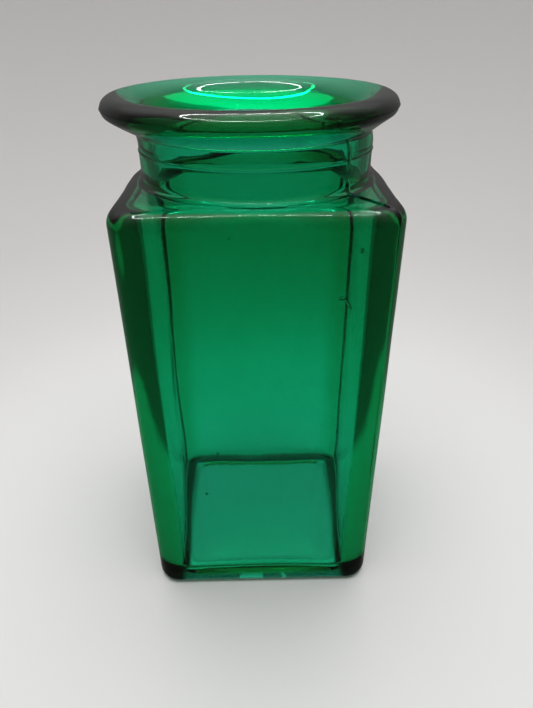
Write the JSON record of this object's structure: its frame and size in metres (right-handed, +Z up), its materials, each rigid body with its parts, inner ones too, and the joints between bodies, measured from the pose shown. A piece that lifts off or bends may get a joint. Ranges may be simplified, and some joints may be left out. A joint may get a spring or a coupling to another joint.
{
  "type": "glass apothecary jar",
  "caption": "Open square glass jar with rounded upright corners, a short round neck and a wide rolled rim, for holding dry goods.",
  "frame": {"origin": "middle of the base, on the surface the jar stands on", "axes": "+Z up through the mouth, the four flat sides face +X, -X, +Y and -Y, front is -Y, mould seams at the +X -Y and -X +Y corners"},
  "size_m": [0.102, 0.102, 0.2],
  "materials": {
    "green_glass": "gloss"
  },
  "bodies": {
    "root": {"jar": "green_glass"}
  },
  "joints": []
}
